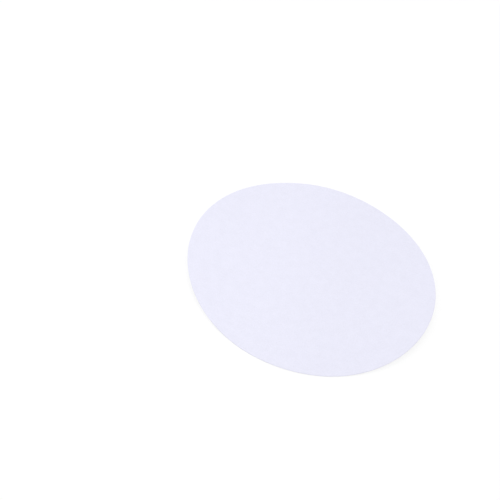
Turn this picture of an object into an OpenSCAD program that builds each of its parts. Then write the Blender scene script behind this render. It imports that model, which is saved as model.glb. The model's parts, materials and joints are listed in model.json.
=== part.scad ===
// Filter paper disc: one circle of qualitative filter paper, die-cut square through its thickness.
// It lies as it comes to rest on a bench. The middle of the sheet lies flat, and the two margins
// beyond the flat band rise a little, on the bend that paper takes across its grain.
// Millimetres, +Z up. The origin is the disc's centre on the surface that it lies on.
// X runs across the grain, through both raised margins, and Y runs along it.

/* [Disc] */
// Diameter that the disc is cut to
disc_d = 125; // [55:5:240]
// Thickness of the paper
sheet_t = 0.18; // [0.1:0.01:0.5]

/* [Lie] */
// Width of the middle band that lies flat
flat_w = 36; // [20:1:50]
// Radius of the bend that lifts the left margin
left_bend_r = 340; // [250:10:2000]
// Radius of the bend that lifts the right margin
right_bend_r = 400; // [250:10:2000]

/* [Hidden] */

// Width of each margin, seen from above
margin_w = (disc_d - flat_w) / 2;
// How far the uncut sheet runs past the cut, so that the cut trims it all round
trim = 1;
blank_w = disc_d + 2 * trim;
// Facets to a full turn: the bends are shallow arcs of large circles, so they take finer steps
cut_facets = 360;
bend_facets = 2880;

// How high the underside of a margin's edge rises
function lift(bend_r) = bend_r - sqrt(bend_r * bend_r - margin_w * margin_w);

// The band of the uncut sheet that lies flat on the bench
module flat_band() {
    translate([-flat_w / 2, -blank_w / 2, 0])
        cube([flat_w, blank_w, sheet_t]);
}

// A margin of the uncut sheet on the +X side: the sheet's section, swept round the axis of its bend.
// The axis lies along Y, above the edge of the flat band, so the margin leaves the band tangent to it.
module raised_margin(bend_r) {
    bend_angle = asin((margin_w + trim) / (bend_r - sheet_t));
    translate([flat_w / 2, 0, bend_r])
        rotate([90, 0, 0])
            rotate([0, 0, -90])
                rotate_extrude(angle = bend_angle, $fn = bend_facets)
                    translate([bend_r - sheet_t, -blank_w / 2])
                        square([sheet_t, blank_w]);
}

// The round die: it comes straight down, so the cut edge stands square to the bench
module cut() {
    die_h = sheet_t + 2 * trim + max(lift(left_bend_r), lift(right_bend_r));
    translate([0, 0, -trim])
        cylinder(d = disc_d, h = die_h, $fn = cut_facets);
}

module paper_disc() {
    color("ghostwhite")
        intersection() {
            union() {
                flat_band();
                raised_margin(right_bend_r);
                mirror([1, 0, 0])
                    raised_margin(left_bend_r);
            }
            cut();
        }
}

paper_disc();
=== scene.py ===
import json
import math

import bpy
import numpy as np
from mathutils import Matrix, Vector


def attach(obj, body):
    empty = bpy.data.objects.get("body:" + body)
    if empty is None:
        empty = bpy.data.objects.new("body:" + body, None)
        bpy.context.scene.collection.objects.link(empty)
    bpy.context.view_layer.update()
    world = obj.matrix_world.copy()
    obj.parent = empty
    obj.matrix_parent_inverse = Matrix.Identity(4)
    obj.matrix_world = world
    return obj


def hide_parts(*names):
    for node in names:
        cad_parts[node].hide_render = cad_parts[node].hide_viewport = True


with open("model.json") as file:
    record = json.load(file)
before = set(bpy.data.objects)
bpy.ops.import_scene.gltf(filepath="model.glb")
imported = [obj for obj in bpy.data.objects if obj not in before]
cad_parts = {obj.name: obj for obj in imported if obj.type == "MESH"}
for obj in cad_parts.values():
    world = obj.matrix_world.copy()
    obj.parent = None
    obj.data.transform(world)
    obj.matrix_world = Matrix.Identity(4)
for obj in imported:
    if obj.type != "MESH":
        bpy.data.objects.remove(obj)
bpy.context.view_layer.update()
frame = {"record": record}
mounts = {mount["name"]: mount for mount in frame["record"]["mounts"]}
discRadius = mounts["rim"]["dims"]["r_mm"] / 1000
paperThickness = mounts["top_face"]["pos_m"][2]
print("frame loaded: a disc of radius", discRadius, "m and thickness", paperThickness, "m")

noiseMiddle = 0.5    # the value that any noise varies about
white = (1, 1, 1, 1)


# One socket of a shader tree, so that shader maths reads as plain expressions
class Socket:
    def __init__(self, tree, socket):
        self.tree = tree
        self.socket = socket

    def __add__(self, other):
        return self.tree.maths("ADD", self, other)

    __radd__ = __add__

    def __sub__(self, other):
        return self.tree.maths("SUBTRACT", self, other)

    def __rsub__(self, other):
        return self.tree.maths("SUBTRACT", other, self)

    def __mul__(self, other):
        return self.tree.maths("MULTIPLY", self, other)

    __rmul__ = __mul__

    # another output of the same node
    def beside(self, name):
        return Socket(self.tree, self.socket.node.outputs[name])


# A node tree with one method that adds any node: its settings are set first, then its sockets
class ShaderTree:
    def __init__(self, owner):
        owner.use_nodes = True
        self.tree = owner.node_tree
        self.tree.nodes.clear()

    def add(self, kind, settings=None, values=None, output=0):
        node = self.tree.nodes.new("ShaderNode" + kind)
        for name, setting in (settings or {}).items():
            setattr(node, name, setting)
        for name, value in (values or {}).items():
            if isinstance(value, Socket):
                self.tree.links.new(value.socket, node.inputs[name])
            else:
                node.inputs[name].default_value = value
        return Socket(self, node.outputs[output]) if node.outputs else None

    def maths(self, operation, first, second=0.0, clamp=False):
        return self.add("Math", {"operation": operation, "use_clamp": clamp}, {0: first, 1: second})

    def mixColours(self, factor, first, second):
        settings = {"data_type": "RGBA", "clamp_factor": True}
        return self.add("Mix", settings, {0: factor, 6: first, 7: second}, output=2)

    def mixNumbers(self, factor, first, second):
        settings = {"data_type": "FLOAT", "clamp_factor": True}
        return self.add("Mix", settings, {0: factor, 2: first, 3: second})

    # 0 at low and 1 at high, with a smooth step between; low may be the larger
    def ramp(self, value, low, high):
        settings = {"interpolation_type": "SMOOTHSTEP"}
        return self.add("MapRange", settings, {"Value": value, "From Min": low, "From Max": high})

    # 0 to 1 about noiseMiddle, with clumps of the size given
    def noise(self, place, size, detail, output=0):
        values = {"Vector": place, "Scale": 1 / size, "Detail": detail}
        return self.add("TexNoise", {"noise_dimensions": "3D"}, values, output)


# What a user would change about the sheet's shape, in metres unless a note says otherwise. A set of waves is
# given by its shortest wavelength, its longest one and how many waves it has.
sheetShape = {
    "cells": 208,               # cells along each side of the square grid that is rounded into the disc
    "flatHalf": 0.018,          # half the width of the middle band that lies flat
    "leftBend": 0.340,          # bend radius of the raised margin on -X
    "rightBend": 0.400,         # bend radius of the raised margin on +X
    "cockle": 0.00010,          # height of the slow waves at the edge
    "cockleWaves": (0.035, 0.080, 14),
    "formation": 0.0000035,     # rise and fall of the faces over the clumps of fibre
    "clumpWaves": (0.0035, 0.0080, 48),
    "fineClumpWaves": (0.0018, 0.0032, 64),
    "fineClumpShare": 0.5,      # height of the fine clumps, as a share of the broad ones'
    "underside": 0.000015,      # mean clearance of the underside over the bench, for its own rise and fall
    "cutWander": 0.000016,      # how far the cut edge strays from a true circle
    "slowWanderWaves": (0.003, 0.009, 24),
    "slowWanderShare": 0.6,
    "quickWanderWaves": (0.0011, 0.0022, 40),
    "quickWanderShare": 0.8,
    "edgeRing": 0.00015,        # how far inside the cut the faces' grids end and the edge's own rows start
    # the cut edge from the top face to the underside: distance inside the cut and share of the thickness;
    # the knife presses the upper arris round and leaves the lower one nearly sharp
    "cutRows": [
        (0.000055, 1.00), (0.000022, 0.94), (0.000005, 0.80), (0.0, 0.45),
        (0.000003, 0.14), (0.000012, 0.03), (0.000040, 0.00),
    ],
    # first seeds of the random waves; the last three have a second set of waves, with the next seed up
    "cockleSeed": 11,
    "undersideSeed": 21,
    "topSeed": 31,
    "cutSeed": 41,
}


# A smooth random surface about 1 high: the sum of plane waves cos(k . p + phase) with random headings and
# wavelengths, divided by the root of half their count
def randomWaves(x, y, waves, seed):
    shortest, longest, count = waves
    rng = np.random.default_rng(seed)
    heading = rng.uniform(0, 2 * math.pi, count)
    wavelength = np.exp(rng.uniform(math.log(shortest), math.log(longest), count))
    phase = rng.uniform(0, 2 * math.pi, count)
    total = np.zeros_like(x)
    for turn, length, start in zip(heading, wavelength, phase):
        total += np.cos((x * math.cos(turn) + y * math.sin(turn)) * 2 * math.pi / length + start)
    return total / math.sqrt(count / 2)


# A square grid rounded into a unit disc: the radius is the larger of |u| and |v|, and the angle runs evenly
# along each side of the square, so rings of cells stay evenly spaced and there is no pole
def roundedSquare(u, v):
    radius = np.maximum(np.abs(u), np.abs(v))
    safe = np.where(radius > 0, radius, 1)
    eighth = math.pi / 4
    angle = np.where(
        np.abs(u) >= np.abs(v),
        np.where(u < 0, math.pi, 0) + eighth * v / safe * np.where(u < 0, -1, 1),
        np.where(v < 0, 1.5, 0.5) * math.pi - eighth * u / safe * np.where(v < 0, -1, 1),
    )
    return radius * np.cos(angle), radius * np.sin(angle)


# Height of the underside: zero over the flat band, and beyond it R - sqrt(R^2 - d^2), the arc of the bend,
# where d is the distance past the band. Slow waves are added, pressed between 0 and 1 by (1 + tanh) / 2 so
# that they only lift, and growing with the fourth power of the radius.
def undersideHeight(x, y):
    bend = np.where(x < 0, sheetShape["leftBend"], sheetShape["rightBend"])
    past = np.maximum(np.abs(x) - sheetShape["flatHalf"], 0)
    arc = bend - np.sqrt(bend ** 2 - past ** 2)
    waves = randomWaves(x, y, sheetShape["cockleWaves"], sheetShape["cockleSeed"])
    towardsEdge = (np.hypot(x, y) / discRadius) ** 4
    return arc + sheetShape["cockle"] * towardsEdge * (1 + np.tanh(waves)) / 2


# Rise and fall of a face over the clumps of fibre: broad waves, and finer and lower ones on them
def formationRelief(x, y, seed):
    broad = randomWaves(x, y, sheetShape["clumpWaves"], seed)
    fine = randomWaves(x, y, sheetShape["fineClumpWaves"], seed + 1)
    return sheetShape["formation"] * (broad + sheetShape["fineClumpShare"] * fine)


# Points of the top face and of the underside: one rounded grid at two heights, the paper's thickness apart,
# each with a relief of its own
def facePoints():
    steps = np.linspace(-1, 1, sheetShape["cells"] + 1)
    u, v = np.meshgrid(steps, steps)
    x, y = roundedSquare(u.ravel(), v.ravel())
    faceRadius = discRadius - sheetShape["edgeRing"]
    x, y = x * faceRadius, y * faceRadius
    base = undersideHeight(x, y) + sheetShape["underside"]
    under = np.stack([x, y, base + formationRelief(x, y, sheetShape["undersideSeed"])], 1)
    over = np.stack([x, y, base + paperThickness + formationRelief(x, y, sheetShape["topSeed"])], 1)
    return over, under


# Order of a square grid's outer points, anticlockwise from the lower left corner
def outerLoop():
    cells = sheetShape["cells"]
    row = cells + 1
    bottom = np.arange(cells)
    right = np.arange(cells) * row + cells
    top = cells * row + np.arange(cells, 0, -1)
    left = np.arange(cells, 0, -1) * row
    return np.concatenate([bottom, right, top, left])


# Points of the cut edge, one ring for each of its rows, from the outer points of the two faces. A ring's
# radius is the disc's less the row's inset, plus a wander that fades out towards the faces. Its height lies
# between the two faces by the row's share.
def cutPoints(over, under):
    angle = np.arctan2(over[:, 1], over[:, 0])
    across, along = np.cos(angle), np.sin(angle)
    rimX, rimY = discRadius * across, discRadius * along
    slow = randomWaves(rimX, rimY, sheetShape["slowWanderWaves"], sheetShape["cutSeed"])
    quick = randomWaves(rimX, rimY, sheetShape["quickWanderWaves"], sheetShape["cutSeed"] + 1)
    both = sheetShape["slowWanderShare"] * slow + sheetShape["quickWanderShare"] * quick
    wander = sheetShape["cutWander"] * both
    rings = []
    for inset, share in sheetShape["cutRows"]:
        radius = discRadius - inset + wander * (1 - inset / sheetShape["edgeRing"])
        height = under[:, 2] * (1 - share) + over[:, 2] * share
        rings.append(np.stack([radius * across, radius * along, height], 1))
    return np.concatenate(rings)


# Faces of the closed sheet: the cells of the top grid and of the underside, and then the strips between one
# ring of points and the next, from the top face's outer loop down the cut edge to the underside's
def sheetFaces(loop, gridPoints):
    cells = sheetShape["cells"]
    corner = (np.arange(cells)[:, None] * (cells + 1) + np.arange(cells)).ravel()
    cell = np.stack([corner, corner + 1, corner + cells + 2, corner + cells + 1], 1)
    rings = [loop]
    for k in range(len(sheetShape["cutRows"])):
        rings.append(2 * gridPoints + len(loop) * k + np.arange(len(loop)))
    rings.append(loop + gridPoints)
    strips = []
    for higher, lower in zip(rings, rings[1:]):
        strips.append(np.stack([higher, lower, np.roll(lower, -1), np.roll(higher, -1)], 1))
    return np.concatenate([cell, cell[:, ::-1] + gridPoints, *strips])


# Places on the bake map, a square 1 wide: the two faces are circles on its diagonal, and the cut edge is cut
# in four strips that lie one above the other in a free corner
bakeLayout = {
    "circle": 0.284,            # radius of each face's circle
    "margin": 0.008,            # gap between a circle and the map's border
    "stripStart": 0.012,        # left end of the strips
    "stripLength": 0.44,
    "stripHeight": 0.012,
    "stripTop": 0.985,
    "stripPitch": 0.020,
    "strips": 4,
}


# A face's places are its own x and y, scaled and moved, with the underside mirrored. A strip's places run
# evenly along the cut edge and evenly down its rows.
def bakePlaces(points, faces):
    lay = bakeLayout
    faceCells, around = sheetShape["cells"] ** 2, 4 * sheetShape["cells"]
    scale = lay["circle"] / discRadius
    low = lay["circle"] + lay["margin"]
    high = 1 - low
    flat = points[faces][:, :, :2]
    places = np.empty(flat.shape)
    places[:faceCells] = flat[:faceCells] * scale + low
    places[faceCells:2 * faceCells] = flat[faceCells:2 * faceCells] * (-scale, scale) + high

    step = np.arange(around)
    perStrip = around // lay["strips"]
    strip = step // perStrip
    start = (step % perStrip) / perStrip
    end = start + 1 / perStrip
    along = lay["stripStart"] + lay["stripLength"] * np.stack([start, start, end, end], 1)
    stripTop = lay["stripTop"] - strip * lay["stripPitch"]
    rows = len(sheetShape["cutRows"]) + 1
    rowHeight = lay["stripHeight"] / rows
    for k in range(rows):
        top = stripTop - rowHeight * k
        below = top - rowHeight
        row = slice(2 * faceCells + k * around, 2 * faceCells + (k + 1) * around)
        places[row, :, 0] = along
        places[row, :, 1] = np.stack([top, below, below, top], 1)
    return places


# The closed sheet as one object. Each corner of its faces has a place on the bake map, and each point says
# which side it lies on: 1 on top, -1 below and 0 at the cut edge.
def makeSheet():
    over, under = facePoints()
    loop = outerLoop()
    cut = cutPoints(over[loop], under[loop])
    points = np.concatenate([over, under, cut])
    faces = sheetFaces(loop, len(over))
    mesh = bpy.data.meshes.new("filterPaper")
    mesh.vertices.add(len(points))
    mesh.vertices.foreach_set("co", points.astype(np.float32).ravel())
    mesh.loops.add(faces.size)
    mesh.loops.foreach_set("vertex_index", faces.astype(np.int32).ravel())
    mesh.polygons.add(len(faces))
    mesh.polygons.foreach_set("loop_start", np.arange(0, faces.size, faces.shape[1], dtype=np.int32))
    mesh.update(calc_edges=True)
    mesh.polygons.foreach_set("use_smooth", np.ones(len(faces), bool))
    sides = np.concatenate([np.ones(len(over)), -np.ones(len(under)), np.zeros(len(cut))])
    side = mesh.attributes.new("paperSide", "FLOAT", "POINT")
    side.data.foreach_set("value", sides.astype(np.float32))
    bakeMap = mesh.uv_layers.new(name="OFBake")
    bakeMap.data.foreach_set("uv", bakePlaces(points, faces).astype(np.float32).ravel())
    mesh.validate()
    sheet = bpy.data.objects.new("filterPaper", mesh)
    bpy.context.scene.collection.objects.link(sheet)
    return sheet


# What a user would change about the paper's finish; lengths in metres
paperFinish = {
    "colour": (0.857, 0.857, 0.985),    # cool white of bleached cellulose
    "hollowShade": 0.935,               # what the deepest hollows keep of that colour; between clumps this is the paper's own tone, and in the tooth and between fibres it is painted shade
    "clumpShare": 0.26,                 # the clumps' share in what makes a place high or hollow
    "toothShare": 0.50,                 # the tooth's share in it, and the fibres have the rest
    "clumpSize": 0.0043,
    "toothSize": 0.00065,
    "clumpDetail": 3.0,                 # octaves of the noise in the clumps and in the tooth
    "clumpSpan": (0.30, 0.70),          # the noise's values for the deepest hollow and the highest place
    "roughness": 0.93,
    "roughnessSpread": 0.05,            # how far it varies with the tooth
    "specular": 0.25,
    "sheen": 0.10,
    "sheenRoughness": 0.6,
    "fibreWidth": 0.000175,             # of the noise that the fibres follow; a fibre is about half as wide
    "fibreLength": 0.0022,
    "fibreDetail": 1.0,                 # octaves of that noise, and of the one that curls the fibres
    "fibreHeadings": 5,
    "firstHeading": 0.2,                # radians
    "headingShift": (0.013, 0.007),     # how far each heading's noise is moved from the one before
    "headingFade": 0.08,                # how much lower each heading's fibres are than the ones before
    "ridgeSpan": 0.07,                  # how far from its middle value the noise still makes a fibre
    "curlSize": 0.0014,                 # length over which a fibre changes its way
    "curlPush": 0.0007,                 # how far it strays
    "relief": 0.00004,                  # height that a relief of 1 stands for
    "reliefStrength": 0.6,
    "fibreRelief": 0.55,                # relief of the fibres, of the tooth and of the fibre ends at the cut
    "toothRelief": 2.0,
    "endRelief": 0.5,
    "faceStart": (0.2, 0.95),           # where the face's finish starts and is whole, from 0 at the cut to 1
    "cutGrain": 0.00005,                # size of the fibre ends that show at the cut edge
    "cutFlatness": 3.0,                 # how many times wider than high they are
    "cutDetail": 2.0,                   # octaves of their noise
}


# Felted fibres, 0 to 1. In each heading a stretched noise makes long thin ridges where it crosses its middle
# value, and the place that it reads is pushed about first, so that the fibres curl.
def feltedFibres(tree, place):
    push = paperFinish["curlPush"]
    detail = paperFinish["fibreDetail"]
    curl = tree.noise(place, paperFinish["curlSize"], detail, "Color")
    curled = tree.add("VectorMath", {"operation": "MULTIPLY_ADD"}, {0: curl, 1: (push, push, 0.0), 2: place})
    shiftX, shiftY = paperFinish["headingShift"]
    felt = None
    for heading in range(paperFinish["fibreHeadings"]):
        turn = paperFinish["firstHeading"] + math.pi * heading / paperFinish["fibreHeadings"]
        stretch = {
            "Vector": curled,
            "Location": (shiftX * heading, shiftY * heading, 0.0),
            "Rotation": (0.0, 0.0, turn),
            "Scale": (paperFinish["fibreLength"], paperFinish["fibreWidth"], 1.0),
        }
        along = tree.add("Mapping", {"vector_type": "TEXTURE"}, stretch)
        values = {"Vector": along, "Scale": 1.0, "Detail": detail}
        wave = tree.add("TexNoise", {"noise_dimensions": "2D"}, values)
        ridge = tree.ramp(tree.maths("ABSOLUTE", wave - noiseMiddle), paperFinish["ridgeSpan"], 0.0)
        share = 1 - paperFinish["headingFade"] * heading
        felt = ridge if felt is None else tree.maths("MAXIMUM", felt, ridge * share)
    return felt


# Matt paper. The thin places between clumps are a little darker in tone, and the hollows in the tooth and
# between fibres are darkened with painted shade, for the shadow that falls in them; fibres and tooth also
# stand up from the faces. At the cut edge only the ends and short lengths of the fibres stand up.
def paperMaterial():
    material = bpy.data.materials.new("filterPaper")
    tree = ShaderTree(material)
    place = tree.add("TexCoord", output="Object")
    felt = feltedFibres(tree, place)
    tooth = tree.noise(place, paperFinish["toothSize"], paperFinish["clumpDetail"])
    clumps = tree.noise(place, paperFinish["clumpSize"], paperFinish["clumpDetail"])

    side = tree.add("Attribute", {"attribute_name": "paperSide"}, output="Fac")
    onFace = tree.ramp(tree.maths("ABSOLUTE", side), *paperFinish["faceStart"])
    scale = 1 / paperFinish["cutGrain"]
    values = {0: place, 1: (scale, scale, scale * paperFinish["cutFlatness"])}
    flattened = tree.add("VectorMath", {"operation": "MULTIPLY"}, values)
    ends = tree.noise(flattened, 1.0, paperFinish["cutDetail"])
    onTop = felt * paperFinish["fibreRelief"] + tooth * paperFinish["toothRelief"]
    height = tree.mixNumbers(onFace, ends * paperFinish["endRelief"], onTop)
    bump = {"Strength": paperFinish["reliefStrength"], "Distance": paperFinish["relief"], "Height": height}
    normal = tree.add("Bump", {}, bump)

    clumpShare, toothShare = paperFinish["clumpShare"], paperFinish["toothShare"]
    low, high = paperFinish["clumpSpan"]
    # painted shade: the base colour is darker in the tooth's hollows and between fibres, for the shade in
    # them, while the darker thin places between clumps are the paper's own tone
    raised = tree.ramp(clumps, low, high) * clumpShare + tree.ramp(tooth, low, high) * toothShare
    raised = raised + felt * (1 - clumpShare - toothShare)
    toneAndPaintedShadeColour = tuple(channel * paperFinish["hollowShade"] for channel in paperFinish["colour"])
    paper = {
        "Base Color": tree.mixColours(raised, (*toneAndPaintedShadeColour, 1), (*paperFinish["colour"], 1)),
        "Roughness": paperFinish["roughness"] + paperFinish["roughnessSpread"] * (tooth - noiseMiddle),
        "Specular IOR Level": paperFinish["specular"],
        "Sheen Weight": paperFinish["sheen"],
        "Sheen Roughness": paperFinish["sheenRoughness"],
        "Normal": normal,
    }
    tree.add("OutputMaterial", {}, {"Surface": tree.add("BsdfPrincipled", {}, paper)})
    return material


# What a user would change about the floor and the light; lengths in metres, angles in degrees
studio = {
    "floorHalf": 3.0,           # half its width
    "floorDrop": 0.00002,       # how far the floor lies under the plane that the sheet rests on
    "floorColour": 0.92,        # what the floor gives back to the paper
    "floorWhite": 1.012,        # how bright the floor would be seen in a light of strength 1
    "shadowShare": 0.16,        # the part of that brightness that a shadow can take away
    "skyStrength": 0.71,
    "sunStrength": 1.15,
    "sunElevation": 38,
    "sunAzimuth": -12,          # measured from +Y towards +X
    "sunAngle": 50,             # how wide the sun is, which softens its shadow
    "sideStrength": 0.185,      # watts
    "sidePlace": (-0.28, -0.04, 0.22),
    "sideSize": 0.12,
}


# Rays that see the background as a viewer does: straight, by reflection or through glass
def seesBackground(tree):
    straight = tree.add("LightPath", output="Is Camera Ray")
    reflected = straight.beside("Is Glossy Ray")
    through = straight.beside("Is Transmission Ray")
    return tree.maths("ADD", straight + reflected, through, clamp=True)


# A pale matt floor, which gives light back to the paper. Where it is seen, most of its white is added and
# only a share is the light that falls on it, so that it is white and still keeps a soft shadow.
def floorMaterial():
    material = bpy.data.materials.new("paleFloor")
    tree = ShaderTree(material)
    seen = seesBackground(tree)
    share = studio["shadowShare"]
    matt = tree.add("BsdfDiffuse", {}, {"Color": tree.mixNumbers(seen, studio["floorColour"], share)})
    own = seen * (studio["floorWhite"] - share)
    added = tree.add("Emission", {}, {"Color": white, "Strength": own})
    both = tree.add("AddShader", {}, {0: matt, 1: added})
    tree.add("OutputMaterial", {}, {"Surface": both})
    return material


# A wide floor just under the sheet
def makeFloor():
    half, drop = studio["floorHalf"], -studio["floorDrop"]
    corners = [(-half, -half, drop), (half, -half, drop), (half, half, drop), (-half, half, drop)]
    mesh = bpy.data.meshes.new("paleFloor")
    mesh.from_pydata(corners, [], [(0, 1, 2, 3)])
    mesh.materials.append(floorMaterial())
    floor = bpy.data.objects.new("paleFloor", mesh)
    bpy.context.scene.collection.objects.link(floor)


# An even sky, which is seen as plain white
def makeSky():
    world = bpy.data.worlds.new("softSky")
    tree = ShaderTree(world)
    sky = tree.add("Background", {}, {"Color": white, "Strength": studio["skyStrength"]})
    plain = tree.add("Background", {}, {"Color": white, "Strength": 1.0})
    either = tree.add("MixShader", {}, {0: seesBackground(tree), 1: sky, 2: plain})
    tree.add("OutputWorld", {}, {"Surface": either})
    bpy.context.scene.world = world


# Adds a lamp to the scene, turned so that its light comes from the direction given
def addLamp(lamp, direction):
    holder = bpy.data.objects.new(lamp.name, lamp)
    holder.rotation_mode = "QUATERNION"
    holder.rotation_quaternion = direction.to_track_quat("Z", "Y")
    bpy.context.scene.collection.objects.link(holder)
    return holder


# A wide soft sun behind the disc, and a small soft box on its left
def makeLamps():
    sun = bpy.data.lights.new("softSun", "SUN")
    sun.energy = studio["sunStrength"]
    sun.angle = math.radians(studio["sunAngle"])
    azimuth, elevation = math.radians(studio["sunAzimuth"]), math.radians(studio["sunElevation"])
    level = math.cos(elevation)
    addLamp(sun, Vector((math.sin(azimuth) * level, math.cos(azimuth) * level, math.sin(elevation))))

    box = bpy.data.lights.new("sideBox", "AREA")
    box.energy = studio["sideStrength"]
    box.size = studio["sideSize"]
    boxHolder = addLamp(box, Vector(studio["sidePlace"]))
    boxHolder.location = studio["sidePlace"]
    boxHolder.visible_camera = False


# What a user would change about the camera; lengths in metres, angles in degrees
camera = {
    "elevation": 47.15,         # of the line from the disc's centre to the camera, over the disc's plane
    "roll": 18.05,              # how far the disc's X axis leans clockwise in the picture
    "distance": 1.25,
    "lens": 182.4,              # millimetres, as the sensor's width is
    "sensor": 36.0,
    "near": 0.05,               # the nearest and the furthest distance that it sees
    "far": 50,
    "picture": 500,             # width and height of the picture, in pixels
    "discAt": (311.3, 276.9),   # where the disc's centre falls in it, right and down from its corner
}


# The camera looks at the disc's centre with its roll, and then turns by the small angle that puts the centre
# at its place in the picture
def makeCamera():
    data = bpy.data.cameras.new("camera")
    data.lens = camera["lens"]
    data.sensor_width = camera["sensor"]
    data.clip_start, data.clip_end = camera["near"], camera["far"]
    elevation, roll = math.radians(camera["elevation"]), math.radians(camera["roll"])
    back = Vector((0, -math.cos(elevation), math.sin(elevation)))
    across = Vector((1, 0, 0))
    up = back.cross(across)
    right = across * math.cos(roll) + up * math.sin(roll)
    above = up * math.cos(roll) - across * math.sin(roll)
    aimed = Matrix((right, above, back)).transposed()
    pixels = camera["lens"] / camera["sensor"] * camera["picture"]
    half = camera["picture"] / 2
    offset = Vector((camera["discAt"][0] - half, half - camera["discAt"][1], -pixels)).normalized()
    turn = offset.rotation_difference(Vector((0, 0, -1))).to_matrix()
    eye = bpy.data.objects.new("camera", data)
    eye.matrix_world = Matrix.Translation(back * camera["distance"]) @ (aimed @ turn).to_4x4()
    bpy.context.scene.collection.objects.link(eye)
    bpy.context.scene.camera = eye


makeCamera()
print("camera placed")
sheet = makeSheet()
sheet.data.materials.append(paperMaterial())
print("sheet made:", len(sheet.data.polygons), "faces")
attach(sheet, "root")
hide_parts("paper_disc")
2 * discRadius
2 * discRadius
math.pi * discRadius ** 2
makeFloor()
makeSky()
makeLamps()
print("studio lit")

bpy.context.scene.view_settings.view_transform = "Standard"
